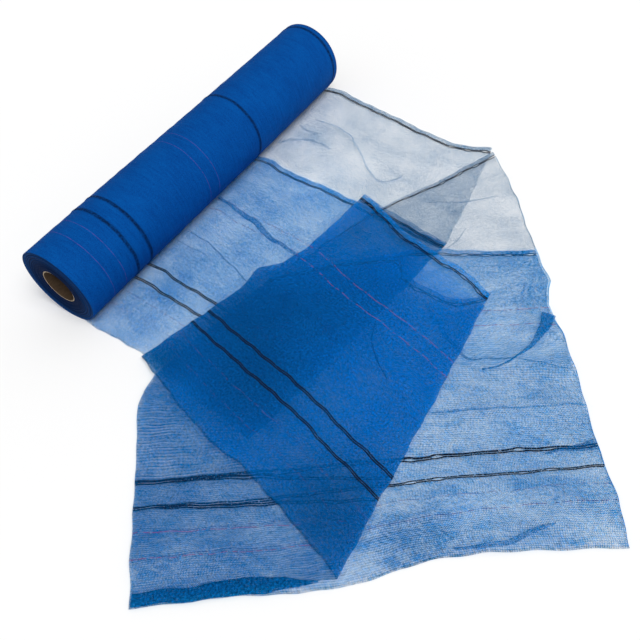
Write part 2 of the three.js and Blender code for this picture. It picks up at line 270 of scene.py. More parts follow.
# Height of a ply over a place: ripples, creases, and a step up where it lies on the plies under it
def heightOf(ply, points):
    x, y = points[..., 0], points[..., 1]
    height = netSizes["ripple"] * (1 + np.sin(x / 0.095 + 1.3) * np.sin(y / 0.120 + x / 0.380))
    fine = np.sin(x / 0.021 + 3 * np.sin(y / 0.110)) * np.sin(y / 0.024 + 2 * np.sin(x / 0.130))
    height = height + netSizes["fineRipple"] * (1 + fine)
    for x0, y0, x1, y1, top, spread in creases:
        away = distanceToSegment(points, np.array([x0, y0]), np.array([x1, y1])) / spread
        height = height + top * np.exp(-away ** 2)
    near = netSizes["flatNearRoll"]
    height = netSizes["floorGap"] + height * smooth((-y - near) / near)
    if ply["level"] == "floor":
        return height
    if ply["level"] == "second":
        return height + netSizes["plyPitch"]
    for outline in underlying:
        past = distanceOutside(points, outline) - netSizes["liftMargin"]
        height = height + netSizes["plyPitch"] * (1 - smooth(past / netSizes["liftFade"]))
    return height + netSizes["plyPitch"] * pliesOver[ply["level"]]


def plyGrid(ply, shares, places):
    plan = planGrid(ply, shares, places)
    return np.concatenate([plan, heightOf(ply, plan)[..., None]], axis=-1)


# Between two plies the net turns back round a half circle that stands past the fold line
def turnGrid(ply, nextPly, shares, places):
    before = plyGrid(ply, shares, [0.9, 1])
    after = plyGrid(nextPly, shares, [0])[0]
    alongFold = onFold(ply["to"], np.minimum(1, shares + 0.03)) - onFold(ply["to"], shares - 0.03)
    outward = np.stack([alongFold[:, 1], -alongFold[:, 0]], axis=-1)
    outward /= np.linalg.norm(outward, axis=-1)[:, None]
    inWay = before[1, :, :2] - before[0, :, :2]
    outward *= np.sign((outward * inWay).sum(-1))[:, None]
    rise = (after[:, 2] - before[1, :, 2]) / 2
    rows = []
    for k in places:
        plan = before[1, :, :2] + outward * (np.abs(rise) * math.sin(math.pi * k))[:, None]
        height = before[1, :, 2] + rise * (1 - math.cos(math.pi * k))
        rows.append(np.concatenate([plan, height[:, None]], axis=-1))
    return np.array(rows)


def sharesBetween(a, b):
    count = max(2, round(abs(b - a) * drawnWidth / netSizes["columnStep"]))
    return np.linspace(a, b, count + 1)


# The net as one grid: columns by share of the width, rows along its length, with what is spread where
def netGrid():
    shares = np.concatenate([
        sharesBetween(1, tuckedFold), sharesBetween(tuckedFold, secondSelvedge)[1:],
        sharesBetween(secondSelvedge, 0)[1:],
    ])
    doubles = int(np.argmin(np.abs(shares - secondSelvedge))) + 1
    blocks, plyOfRow, whole = [], [], []
    for n, ply in enumerate(plies):
        ends = plyGrid(ply, np.array([0.7]), np.linspace(0, 1, 9))[:, 0]
        length = np.linalg.norm(np.diff(ends, axis=0), axis=1).sum()
        places = np.linspace(0, 1, round(length / netSizes["rowStep"]) + 1)
        block = plyGrid(ply, shares if ply["whole"] else shares[:doubles], places)
        blocks.append(block)
        plyOfRow += [n] * len(places)
        whole += [ply["whole"]] * len(places)
        if n + 1 < len(plies):
            steps = np.arange(1, netSizes["turnRows"]) / netSizes["turnRows"]
            blocks.append(turnGrid(ply, plies[n + 1], shares[:doubles], steps))
            plyOfRow += [n + 0.5] * len(steps)
            whole += [False] * len(steps)
    points = np.full((len(plyOfRow), len(shares), 3), np.nan)
    row = 0
    for block in blocks:
        points[row:row + len(block), :block.shape[1]] = block
        row += len(block)
    return shares, doubles, points, np.array(plyOfRow), np.array(whole)


def normalsOf(points):
    along = np.gradient(points, axis=0)
    across = np.gradient(points, axis=1)
    normals = np.cross(along, across)
    return normals / np.maximum(1e-12, np.linalg.norm(normals, axis=-1))[..., None]


def lengthAlong(points):
    steps = np.linalg.norm(np.diff(points, axis=0), axis=-1)
    return np.concatenate([np.zeros((1, points.shape[1])), np.cumsum(steps, axis=0)])


def meshObject(name, verts, faces, uvs=None, values=None):
    mesh = bpy.data.meshes.new(name)
    mesh.from_pydata(np.asarray(verts).tolist(), [], np.asarray(faces).tolist())
    if uvs is not None:
        layer = mesh.uv_layers.new(name="cloth")
        corners = np.zeros(len(mesh.loops), int)
        mesh.loops.foreach_get("vertex_index", corners)
        layer.data.foreach_set("uv", np.asarray(uvs)[corners].astype(np.float32).ravel())
    for key, data in (values or {}).items():
        perPoint = mesh.attributes.new(key, "FLOAT", "POINT")
        perPoint.data.foreach_set("value", np.asarray(data, np.float32))
    mesh.shade_smooth()
    mesh.update()
    made = bpy.data.objects.new(name, mesh)
    bpy.context.collection.objects.link(made)
    return made


# How open the knit lies on each ply, and how much lighter or darker its yarn is painted as painted light and
# shade: 1 is as knitted, more is closer or lighter
plyLooks = {
    "under": {"cover": 1.09, "painted_shading": 1.08},
    "back": {"cover": 0.74, "painted_shading": 0.85},
    "top": {"cover": 1.58, "painted_shading": 1.32},
    "left": {"cover": 0.72, "painted_shading": 0.90},
    "spread": {"cover": 1.03, "painted_shading": 1.03},
}
# The same where the net lies single, where the yarn is painted darker as painted shade
singleLooks = {
    "under": {"cover": 0.74, "painted_shading": 0.60},
    "spread": {"cover": 0.71, "painted_shading": 0.55},
}

# Soft patches where the net is bunched or drawn apart, and where its yarn is painted lighter or darker as
# painted light and shade: ply, x, y, half width, change of cover and of the yarn's painted light and shade
patches = [
    ("left", 0.27, -0.60, 0.200, 0.75, -0.05),
    ("left", -0.05, -0.55, 0.130, 0.35, 0.00),
    ("top", 0.20, -0.45, 0.170, 0.05, -0.45),
    ("top", 0.02, -0.62, 0.150, 0.05, -0.45),
    ("top", 0.33, -0.66, 0.130, 0.02, -0.25),
    ("top", -0.16, -0.95, 0.150, 0.10, -0.50),
    ("top", 0.63, -0.54, 0.090, -0.74, 0.15),
    ("top", 0.57, -0.60, 0.090, -0.66, 0.12),
    ("top", 0.63, -0.70, 0.080, -0.62, 0.12),
    ("top", 0.57, -0.79, 0.075, -0.62, 0.10),
    ("top", 0.54, -0.88, 0.060, -0.72, 0.10),
    ("top", 0.53, -0.95, 0.055, -0.86, 0.10),
    ("top", -0.03, -0.34, 0.090, 0.10, -0.45),
    ("spread", 0.06, -1.30, 0.110, 0.10, 0.00),
    ("spread", -0.115, -1.152, 0.090, 0.55, -0.10),
    ("spread", -0.02, -1.20, 0.045, -0.25, 0.10),
    ("spread", 0.448, -1.06, 0.080, -0.12, 0.05),
    ("spread", 0.208, -1.224, 0.060, 0.14, 0.05),
    ("spread", 0.30, -1.20, 0.050, 0.16, 0.00),
    ("spread", -0.30, -0.70, 0.200, 0.12, -0.05),
    ("under", 0.22, -0.20, 0.060, 0.14, 0.00),
    ("under", 0.476, -0.153, 0.060, -0.14, 0.05),
    ("under", 0.66, -0.10, 0.070, 0.02, 0.00),
    ("under", 0.95, -0.16, 0.090, 0.22, 0.10),
    ("under", 0.80, -0.34, 0.120, -0.10, 0.15),
]


def looksOn(plyName, points, singles):
    double = plyLooks[plyName]
    single = singleLooks.get(plyName, double)
    cover = np.where(singles, single["cover"], double["cover"])
    painted_shading = np.where(singles, single["painted_shading"], double["painted_shading"])
    for name, x, y, spread, moreCover, morePaintedShading in patches:
        if name == plyName:
            away = ((points[..., 0] - x) ** 2 + (points[..., 1] - y) ** 2) / spread ** 2
            cover = cover + moreCover * np.exp(-away)
            painted_shading = painted_shading + morePaintedShading * np.exp(-away)
    return cover, painted_shading


# The two layers of the net, parted a little except at the fold. The lower one is pulled back at the cut end
def netLayers(shares, single):
    fade = smooth((1 - shares) / netSizes["foldFade"])
    offset = normalsOf(single) * (netSizes["layerGap"] / 2 * fade)[None, :, None]
    upper, lower = single + offset, single - offset
    rows = netSizes["pulledRows"]
    backwards = (lower[-3] - lower[-1]) / np.linalg.norm(lower[-3] - lower[-1], axis=-1)[:, None]
    pull = netSizes["pullBack"] * np.exp(-((shares - netSizes["pulledPlace"]) / netSizes["pulledHalf"]) ** 4)
    for k in range(rows):
        lower[-1 - k] += backwards * (pull * smooth(1 - k / rows))[:, None]
    return np.stack([upper, lower])


def makeNet():
    shares, doubles, middle, plyOfRow, whole = netGrid()
    single = middle.copy()
    single[~whole, doubles:] = middle[~whole, doubles - 1:doubles]  # placeholders, not used by any face
    walked = lengthAlong(single)
    walked[:, doubles:] = walked[:, doubles - 1:doubles]
    layers = netLayers(shares, single)
    made = np.ones(layers.shape[:3], bool)
    made[0, ~whole, int(np.argmin(np.abs(shares - tuckedFold))) + 1:] = False
    made[1, :, doubles:] = False
    made[1, :, 0] = False  # at the fold both layers have the same points
    number = np.full(made.shape, -1)
    number[made] = np.arange(made.sum())
    number[1, :, 0] = number[0, :, 0]
    singles = np.arange(len(shares)) >= doubles
    cover, painted_shading = np.zeros((2, *made.shape))
    for layer in (0, 1):
        for i, at in enumerate(plyOfRow):
            beside = [plies[k]["name"] for k in (int(at), math.ceil(at))]
            looks = [looksOn(name, layers[layer, i], singles) for name in beside]
            cover[layer, i], painted_shading[layer, i] = np.mean(looks, axis=0)
    faces = []
    for n, way in zip(number, (-1, 1)):
        quads = np.stack([n[:-1, :-1], n[:-1, 1:], n[1:, 1:], n[1:, :-1]], axis=-1).reshape(-1, 4)
        faces.append(quads[quads.min(axis=1) >= 0][:, ::way])
    across = np.stack([shares, 2 - shares])[:, None, :] * drawnWidth
    uvs = [np.broadcast_to(part, made.shape)[made] for part in (across, walked)]
    fromEnd = np.broadcast_to(walked[-1] - walked, made.shape)[made]
    verts = layers[made]
    verts[:, :2] += nearEnd
    values = {"cover": cover[made], "painted_shading": painted_shading[made], "from_end": fromEnd}
    return meshObject("loose_net", verts, np.concatenate(faces), np.stack(uvs, axis=-1), values)


# Pleats: narrow tucks that lie on a ply, their yarn mostly painted darker as painted shade in the fold.
# Points are x, y and the tuck's width
pleats = [
    {"ply": "under", "height": 0.0022, "cover": 1.5, "painted_shading": 0.95, "points": [
        (0.583, -0.063, 0.010), (0.551, -0.166, 0.014), (0.528, -0.255, 0.019), (0.496, -0.328, 0.017),
        (0.476, -0.401, 0.013), (0.456, -0.469, 0.010)]},
    {"ply": "under", "height": 0.0008, "cover": 1.2, "painted_shading": 0.8, "points": [
        (0.415, -0.068, 0.002), (0.400, -0.158, 0.003), (0.356, -0.280, 0.0045), (0.314, -0.383, 0.004)]},
    {"ply": "under", "height": 0.0006, "cover": 1.1, "painted_shading": 0.8, "points": [
        (0.370, -0.065, 0.002), (0.358, -0.137, 0.003), (0.351, -0.207, 0.002)]},
    {"ply": "under", "height": 0.0008, "cover": 1.1, "painted_shading": 0.8, "points": [
        (1.058, -0.130, 0.002), (1.048, -0.185, 0.004), (1.030, -0.250, 0.006), (1.004, -0.305, 0.0045),
        (0.960, -0.350, 0.003)]},
    {"ply": "under", "height": 0.0006, "cover": 0.7, "painted_shading": 0.8, "points": [
        (0.985, -0.330, 0.004), (0.930, -0.392, 0.007), (0.880, -0.440, 0.006), (0.848, -0.486, 0.006),
        (0.842, -0.520, 0.008), (0.858, -0.545, 0.006), (0.890, -0.564, 0.003)]},
    {"ply": "under", "height": 0.0006, "cover": 0.6, "painted_shading": 0.8, "points": [
        (1.010, -0.091, 0.005), (0.996, -0.130, 0.009), (0.990, -0.160, 0.008), (0.991, -0.196, 0.004)]},
    {"ply": "under", "height": 0.0006, "cover": 0.6, "painted_shading": 0.8, "points": [
        (0.900, -0.075, 0.010), (0.925, -0.110, 0.014), (0.945, -0.160, 0.012), (0.944, -0.215, 0.010),
        (0.923, -0.272, 0.006)]},
    {"ply": "spread", "height": 0.0008, "cover": 0.9, "painted_shading": 0.7, "points": [
        (0.800, -0.700, 0.002), (0.818, -0.750, 0.004), (0.843, -0.792, 0.0045), (0.868, -0.828, 0.004),
        (0.904, -0.870, 0.002)]},
    {"ply": "spread", "height": 0.0008, "cover": 0.9, "painted_shading": 0.6, "points": [
        (0.641, -0.836, 0.003), (0.689, -0.846, 0.004), (0.738, -0.849, 0.002)]},
    {"ply": "spread", "height": 0.0024, "cover": 2.4, "painted_shading": 0.9, "points": [
        (0.540, -1.160, 0.034), (0.507, -1.162, 0.026), (0.462, -1.162, 0.015), (0.420, -1.156, 0.008),
        (0.383, -1.146, 0.005), (0.348, -1.117, 0.004), (0.319, -1.085, 0.003)]},
    {"ply": "spread", "height": 0.0012, "cover": 1.3, "painted_shading": 0.8, "points": [
        (0.455, -0.860, 0.009), (0.400, -0.930, 0.010), (0.338, -1.030, 0.007), (0.359, -1.087, 0.005),
        (0.377, -1.151, 0.0035), (0.392, -1.207, 0.003), (0.405, -1.260, 0.003)]},
    {"ply": "spread", "height": 0.0012, "cover": 1.3, "painted_shading": 1.0, "points": [
        (0.158, -1.036, 0.004), (0.186, -1.074, 0.007), (0.210, -1.116, 0.005), (0.258, -1.203, 0.005),
        (0.328, -1.324, 0.004)]},
    {"ply": "spread", "height": 0.0014, "cover": 1.4, "painted_shading": 0.9, "points": [
        (-0.100, -1.215, 0.004), (-0.058, -1.280, 0.010), (-0.030, -1.313, 0.012), (0.011, -1.337, 0.010),
        (0.040, -1.367, 0.004)]},
    {"ply": "spread", "height": 0.0022, "cover": 1.6, "painted_shading": 0.9, "points": [
        (0.180, -1.292, 0.002), (0.215, -1.332, 0.012), (0.247, -1.372, 0.026)]},
    {"ply": "left", "height": 0.0030, "cover": 4.0, "painted_shading": 0.72, "points": [
        (-0.508, -0.712, 0.026), (-0.470, -0.760, 0.028), (-0.424, -0.823, 0.030), (-0.385, -0.872, 0.034),
        (-0.347, -0.930, 0.034), (-0.318, -0.974, 0.020), (-0.288, -1.022, 0.003)]},
    {"ply": "top", "height": 0.0012, "cover": 1.6, "painted_shading": 0.7, "points": [
        (0.330, -0.790, 0.003), (0.262, -0.822, 0.004), (0.190, -0.905, 0.003)]},
]
pleatSizes = {
    "step": 0.006,
    "leastSteps": 6,
    "lift": 0.0006,
    "fullWidth": 0.004,  # narrower than this, a pleat is lower too
    "knitFrom": 0.20,  # its knit is that of the net this far from the selvedge
    "toCutEnd": 1.0,
}
pleatSection = ((-0.5, 0.0), (-0.44, 0.75), (-0.25, 1.0), (0.0, 0.9), (0.25, 1.0), (0.44, 0.75), (0.5, 0.0))


def makePleats():
    verts, faces, uvs, cover, painted_shading, fromEnd = [], [], [], [], [], []
    plyByName = {ply["name"]: ply for ply in plies}
    for pleat in pleats:
        points = np.array(pleat["points"])
        length = np.linalg.norm(np.diff(points[:, :2], axis=0), axis=1)
        walked = np.concatenate([[0], np.cumsum(length)])
        places = np.linspace(0, 1, max(pleatSizes["leastSteps"], round(walked[-1] / pleatSizes["step"])) + 1)
        middle = wandered(alongCurve([tuple(p) for p in points[:, :2]], places))
        width = np.interp(places * walked[-1], walked, points[:, 2])
        way = np.gradient(middle, axis=0)
        side = np.stack([-way[:, 1], way[:, 0]], axis=-1) / np.linalg.norm(way, axis=1)[:, None]
        first = len(verts)
        for i in range(len(places)):
            for off, up in pleatSection:
                place = middle[i] + side[i] * off * width[i]
                height = heightOf(plyByName[pleat["ply"]], place) + pleatSizes["lift"]
                top = pleat["height"] * min(1, width[i] / pleatSizes["fullWidth"]) * up
                verts.append((*(place + nearEnd), height + top))
                uvs.append((pleatSizes["knitFrom"] + off * width[i], places[i] * walked[-1]))
                cover.append(pleat["cover"])
                painted_shading.append(pleat["painted_shading"])
                fromEnd.append(pleatSizes["toCutEnd"])
        columns = len(pleatSection)
        for i in range(len(places) - 1):
            for j in range(columns - 1):
                a = first + i * columns + j
                faces.append((a, a + columns, a + columns + 1, a + 1))
    values = {"cover": cover, "painted_shading": painted_shading, "from_end": fromEnd}
    return meshObject("net_pleats", verts, faces, uvs, values)


def newMaterial(name):
    material = bpy.data.materials.new(name)
    material.use_nodes = True
    material.node_tree.nodes.clear()
    return material, material.node_tree


def node(tree, kind, **settings):
    made = tree.nodes.new(kind)
    for key, value in settings.items():
        setattr(made, key, value)
    return made


def maths(tree, operation, *values):
    made = node(tree, "ShaderNodeMath", operation=operation)
    for socket, value in zip(made.inputs, values):
        if isinstance(value, (int, float)):
            socket.default_value = value
        else:
            tree.links.new(value, socket)
    return made.outputs[0]


netLook = {
    "wale": 0.004,  # between the chains of stitches, across the net
    "course": 0.0032,  # of the yarn that zigzags between two chains
    "chainWidth": 0.00024,
    "zigzagWidth": 0.00062,
    "sway": 0.0016,  # how far a chain strays from a straight line
    "bandHalf": 0.0034,  # no blue yarn in the eyelet bands
    "selvedge": 0.0205,  # closer knit between a selvedge and its eyelets
    "selvedgeCover": 1.8,
    "edgeChain": 0.0013,
    "face": (0.002, 0.084, 0.275),
    "through": (0.005, 0.215, 0.330),
}
# Unevenness of the knit: a noise's scale and detail, the range of it that counts, and what that range becomes
netNoises = {
    "clouds": {"scale": 9, "detail": 4, "of": (0.32, 0.68), "to": (0.72, 1.30)},
    "streaks": {
        "scale": 6, "detail": 3, "of": (0.30, 0.70), "to": (0.84, 1.18), "stretch": (6, 1, 1), "shift": 3.1,
    },
    "dashes": {
        "scale": 30, "detail": 2, "of": (0.30, 0.70), "to": (0.84, 1.16), "stretch": (9, 1, 1), "shift": 9.2,
    },
    "specks": {"scale": 150, "detail": 3, "of": (0.32, 0.68), "to": (0.58, 1.45), "shift": 7.7},
    "hatched": {"scale": 14, "detail": 2, "of": (0.42, 0.62), "to": (0, 0.05), "shift": 5.3},
    "grain": {"scale": 210, "detail": 3, "of": (0.34, 0.66), "to": (0.45, 1.60), "shift": 3.3},
}


def noiseOn(tree, vector, scale, detail=2.0, stretch=(1, 1, 1), shift=0.0):
    placed = node(tree, "ShaderNodeMapping")
    placed.inputs["Scale"].default_value = stretch
    placed.inputs["Location"].default_value = (shift, shift, shift)
    tree.links.new(vector, placed.inputs["Vector"])
    made = node(tree, "ShaderNodeTexNoise")
    made.inputs["Scale"].default_value = scale
    made.inputs["Detail"].default_value = detail
    tree.links.new(placed.outputs[0], made.inputs["Vector"])
    return made.outputs[0]


def remap(tree, value, fromLow, fromHigh, toLow, toHigh, kind="LINEAR"):
    made = node(tree, "ShaderNodeMapRange", interpolation_type=kind)
    for name, limit in (("From Min", fromLow), ("From Max", fromHigh), ("To Min", toLow), ("To Max", toHigh)):
        made.inputs[name].default_value = limit
    tree.links.new(value, made.inputs["Value"])
    return made.outputs[0]


def uneven(tree, vector, scale, detail, of, to, stretch=(1, 1, 1), shift=0.0):
    return remap(tree, noiseOn(tree, vector, scale, detail, stretch, shift), *of, *to)


def attribute(tree, name):
    return node(tree, "ShaderNodeAttribute", attribute_name=name).outputs["Fac"]


def scaled(tree, colour, factor):
    made = node(tree, "ShaderNodeVectorMath", operation="SCALE")
    if isinstance(colour, tuple):
        made.inputs[0].default_value = colour
    else:
        tree.links.new(colour, made.inputs[0])
    tree.links.new(factor, made.inputs["Scale"])
    return made.outputs[0]


# A colour between two others, each of them given as numbers or as a socket
def blend(tree, factor, first, second):
    made = node(tree, "ShaderNodeMix", data_type="RGBA")
    tree.links.new(factor, made.inputs["Factor"])
    for name, colour in (("A", first), ("B", second)):
        if isinstance(colour, tuple):
            made.inputs[name].default_value = (*colour, 1)
        else:
            tree.links.new(colour, made.inputs[name])
    return made.outputs["Result"]


def mixShaders(tree, factor, first, second):
    made = node(tree, "ShaderNodeMixShader")
    for socket, value in zip(made.inputs, (factor, first, second)):
        tree.links.new(value, socket)
    return made.outputs[0]


# A matt surface with a fine relief, by a look that gives roughness, gloss, relief and reliefDepth
def reliefSurface(tree, colour, height, look):
    relief = node(tree, "ShaderNodeBump")
    relief.inputs["Strength"].default_value = look["relief"]
    relief.inputs["Distance"].default_value = look["reliefDepth"]
    tree.links.new(height, relief.inputs["Height"])
    surface = node(tree, "ShaderNodeBsdfPrincipled")
    surface.inputs["Roughness"].default_value = look["roughness"]
    surface.inputs["Specular IOR Level"].default_value = look["gloss"]
    tree.links.new(colour, surface.inputs["Base Color"])
    tree.links.new(relief.outputs[0], surface.inputs["Normal"])
    return surface.outputs[0]


def showSurface(tree, shader):
    output = node(tree, "ShaderNodeOutputMaterial")
    tree.links.new(shader, output.inputs["Surface"])


# The flat map and its two parts: across and along the net, along and round the roll or the core
def clothPlace(tree):
    cloth = node(tree, "ShaderNodeUVMap", uv_map="cloth").outputs[0]
    parts = node(tree, "ShaderNodeSeparateXYZ")
    tree.links.new(cloth, parts.inputs[0])
    return cloth, parts.outputs[0], parts.outputs[1]


# How closely the yarn lies: by ply, in soft clouds, streaks and dashes, with every second chain a little
# heavier in places, and closer along the selvedges
def coverage(tree, cloth, across):
    turn = maths(tree, "MULTIPLY", across, math.pi / netLook["wale"])
    hatched = uneven(tree, cloth, **netNoises["hatched"])
    edge, ending = netLook["selvedge"], 0.001
    other = netSizes["width"] - edge
    factors = [uneven(tree, cloth, **netNoises[name]) for name in ("specks", "clouds", "streaks", "dashes")]
    factors += [
        maths(tree, "MULTIPLY_ADD", maths(tree, "SINE", turn), hatched, 1.0),
        remap(tree, across, edge, edge + ending, netLook["selvedgeCover"], 1),
        remap(tree, across, other - ending, other, 1, netLook["selvedgeCover"]),
    ]
    result = attribute(tree, "cover")
    for factor in factors:
        result = maths(tree, "MULTIPLY", result, factor)
    return result


def netMaterial():
    material, tree = newMaterial("knitted_net")
    link = tree.links.new
    cloth, flatAcross, along = clothPlace(tree)
    cover = coverage(tree, cloth, flatAcross)
    stray = maths(tree, "SUBTRACT", noiseOn(tree, cloth, 50, 3, (1, 0.4, 1), 1.7), 0.5)
    across = maths(tree, "MULTIPLY_ADD", stray, netLook["sway"] * 2, flatAcross)
    fromChain = maths(tree, "PINGPONG", across, netLook["wale"] / 2)
    chain = maths(tree, "LESS_THAN", fromChain, maths(tree, "MULTIPLY", cover, netLook["chainWidth"] / 2))
    swing = maths(tree, "PINGPONG", along, netLook["course"] / 2)
    line = maths(tree, "MULTIPLY", swing, netLook["wale"] / netLook["course"])
    offLine = maths(tree, "ABSOLUTE", maths(tree, "SUBTRACT", fromChain, line))
    zigzag = maths(tree, "LESS_THAN", offLine, maths(tree, "MULTIPLY", cover, netLook["zigzagWidth"] / 2))
    yarn = maths(tree, "MAXIMUM", chain, zigzag)
    for edge in (0, netSizes["width"]):
        fromEdge = maths(tree, "ABSOLUTE", maths(tree, "SUBTRACT", flatAcross, edge))
        yarn = maths(tree, "MAXIMUM", yarn, maths(tree, "LESS_THAN", fromEdge, netLook["edgeChain"]))
    cutEnd = maths(tree, "LESS_THAN", attribute(tree, "from_end"), netLook["edgeChain"])
    yarn = maths(tree, "MAXIMUM", yarn, cutEnd)
    for share in bandPlaces:
        away = maths(tree, "ABSOLUTE", maths(tree, "SUBTRACT", flatAcross, share * drawnWidth))
        yarn = maths(tree, "MULTIPLY", yarn, maths(tree, "GREATER_THAN", away, netLook["bandHalf"]))
    # painted light and shade on the yarn, from the ply, patch and pleat tables, times a random grain of the
    # yarn
    painted_shading = maths(tree, "MULTIPLY", attribute(tree, "painted_shading"), uneven(tree, cloth, **netNoises["grain"]))
    face = node(tree, "ShaderNodeBsdfDiffuse")
    link(scaled(tree, netLook["face"], painted_shading), face.inputs["Color"])
    through = node(tree, "ShaderNodeBsdfTranslucent")
    link(scaled(tree, netLook["through"], painted_shading), through.inputs["Color"])
    both = node(tree, "ShaderNodeAddShader")
    link(face.outputs[0], both.inputs[0])
    link(through.outputs[0], both.inputs[1])
    clear = node(tree, "ShaderNodeBsdfTransparent")
    showSurface(tree, mixShaders(tree, yarn, clear.outputs[0], both.outputs[0]))
    return material


looseNet = makeNet()
netFinish = netMaterial()
looseNet.data.materials.append(netFinish)
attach(looseNet, "root")
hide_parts("loose_end", "back_eyelet_strip", "front_eyelet_strip")
print("loose net", len(looseNet.data.polygons), "faces")

netPleats = makePleats()
netPleats.data.materials.append(netFinish)
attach(netPleats, "root")
print("pleats", len(netPleats.data.polygons), "faces")

# The roll: wraps of folded net, pressed flat where they rest, wound a little unevenly
rollSizes = {
    "radius": 0.123,
    "boreGap": 0.0003,
    "slack": 0.0009,
    "barrel": 0.0008,
    "endWave": 0.005,
    "endStep": 0.0012,
    "wrapWander": 0.0011,  # of single wraps at the ends
    "wrapPitch": 0.0021,
    "bandRidge": 0.0013,  # the eyelet bands build up under each other
    "bandSpread": 0.0055,
    "bandWander": 0.0012,
    "hoopDepth": 0.0003,
    "hoopLength": 0.060,
    "hoopTilt": 0.004,
    "fineMesh": 0.012,  # to each side of a band
    "fineSteps": 13,
    "roundSteps": 256,
    "lengthStep": 0.009,
    "ringSteps": 52,
    "wraps": 80,  # at least as many as are counted from bore to outside
    "paleFrom": 0.15,  # pale wraps start this far out on an end face, as a share
    # a painted highlight on the rim of each end face, from this share out and this strong
    "rimFrom": 0.90,
    "rimHighlight": 0.8,
    "seed": 11,
}


def rollPlace(share):
    return (1 - share if share <= 1 else share - 1) * drawnWidth


def wavesAbout(rng, places, scale, terms=9):
    total = np.zeros(np.shape(places))
    for _ in range(terms):
        total += np.sin(places * 2 * math.pi / (scale * rng.uniform(0.5, 2.2)) + rng.uniform(0, 6.28))
    return total / math.sqrt(terms)


# Faces of a closed row of circles, each with the same number of steps
def ringFaces(circles, steps):
    i, j = np.meshgrid(np.arange(circles), np.arange(steps), indexing="ij")
    nextI, nextJ = (i + 1) % circles, (j + 1) % steps
    faces = np.stack([i * steps + j, i * steps + nextJ, nextI * steps + nextJ, nextI * steps + j], axis=-1)
    return faces.reshape(-1, 4)


def makeRoll():
    rng = np.random.default_rng(rollSizes["seed"])
    bore = coreRadius + rollSizes["boreGap"]
    bandsAt = [rollPlace(share) for share in bandPlaces]
    places = [np.linspace(0, drawnWidth, round(drawnWidth / rollSizes["lengthStep"]) + 1)]
    beside = np.linspace(-rollSizes["fineMesh"], rollSizes["fineMesh"], rollSizes["fineSteps"])
    places += [place + beside for place in bandsAt]
    x = np.unique(np.clip(np.concatenate(places), 0, drawnWidth).round(5))
    angles = 2 * math.pi * np.arange(rollSizes["roundSteps"]) / rollSizes["roundSteps"]
    lengthwise, around = np.meshgrid(x, angles, indexing="ij")
    radius = rollSizes["radius"] - (rollSizes["slack"] + rollSizes["barrel"]) / 2
    radius = radius + rollSizes["slack"] * np.sin(lengthwise / 0.190 + 0.6) * np.sin(around + 0.4)
    radius += rollSizes["barrel"] * np.sin(math.pi * lengthwise / drawnWidth)
    tilted = lengthwise + rollSizes["hoopTilt"] * np.sin(around + 1)
    radius += rollSizes["hoopDepth"] * wavesAbout(rng, tilted, rollSizes["hoopLength"])
    for place in bandsAt:
        away = lengthwise - place - rollSizes["bandWander"] * np.sin(2 * around + place * 9)
        radius += rollSizes["bandRidge"] * np.exp(-(away / rollSizes["bandSpread"]) ** 2)
    rings = np.linspace(1, 0, rollSizes["ringSteps"] + 1)[1:]
    turns = rng.uniform(-1, 1, (2, rollSizes["wraps"]))

    def wrapAt(radial):
        return (radial - bore) / rollSizes["wrapPitch"] + 2 - angles / (2 * math.pi)

    def endPlace(radial, side):
        out = (radial - bore) / (rollSizes["radius"] - bore)
        wave = rollSizes["endWave"] * np.sin(out * 7 + angles) * out * (1 - out) + rollSizes["endStep"] * out
        turn = wrapAt(radial)
        whole = np.floor(turn).astype(int)
        share = smooth((turn - whole - 0.6) / 0.4)
        wander = turns[side, whole] * (1 - share) + turns[side, whole + 1] * share
        fade = smooth((1 - out) / 0.05) * smooth(out / 0.05)
        return wave + rollSizes["wrapWander"] * wander * fade

    profile = []
    for i in range(len(x)):
        past = 0.0
        if i in (0, len(x) - 1):
            past = endPlace(radius[i], int(i > 0)) * (1 if i else -1)
        profile.append((x[i] + past, radius[i]))
    for side, edge in ((1, -1), (0, 0)):
        for k in (rings if side else rings[::-1]):
            radial = bore + k * (radius[edge] - bore)
            past = endPlace(radial, side) if k > 0 else 0.0
            profile.append((x[edge] + (past if side else -np.asarray(past)), radial))
    verts, uvs, endFace, ring_and_rim_highlight = [], [], [], []
    for n, (along, radial) in enumerate(profile):
        y = radial * np.cos(angles)
        z = np.maximum(0, axisHeight + radial * np.sin(angles))
        circle = np.stack([along + np.zeros(len(angles)), y, z], axis=-1)
        verts.append(circle)
        uvs.append(np.stack([circle[:, 0], angles * rollSizes["radius"]], axis=-1))
        out = (radial - bore) / (rollSizes["radius"] - bore)
        endFace.append(np.full(len(angles), 0.0 if n < len(x) else 1.0))
        turn = wrapAt(radial)
        pale = 0.5 + 0.5 * np.sin(turn * 2.1 + np.sin(turn * 0.7))  # some wraps show more than others
        pale *= smooth((out - rollSizes["paleFrom"]) / (1 - rollSizes["paleFrom"]))
        # painted highlight towards the outer rim of the end face
        rim = rollSizes["rimHighlight"] * smooth((out - rollSizes["rimFrom"]) / (1 - rollSizes["rimFrom"]))
        ring_and_rim_highlight.append(pale + rim)
    verts = np.concatenate(verts)
    verts[:, :2] += nearEnd
    values = {"end_face": np.concatenate(endFace), "ring_and_rim_highlight": np.clip(np.concatenate(ring_and_rim_highlight), 0, 1)}
    return meshObject(
        "wound_wraps", verts, ringFaces(len(profile), len(angles)), np.concatenate(uvs), values,
    )


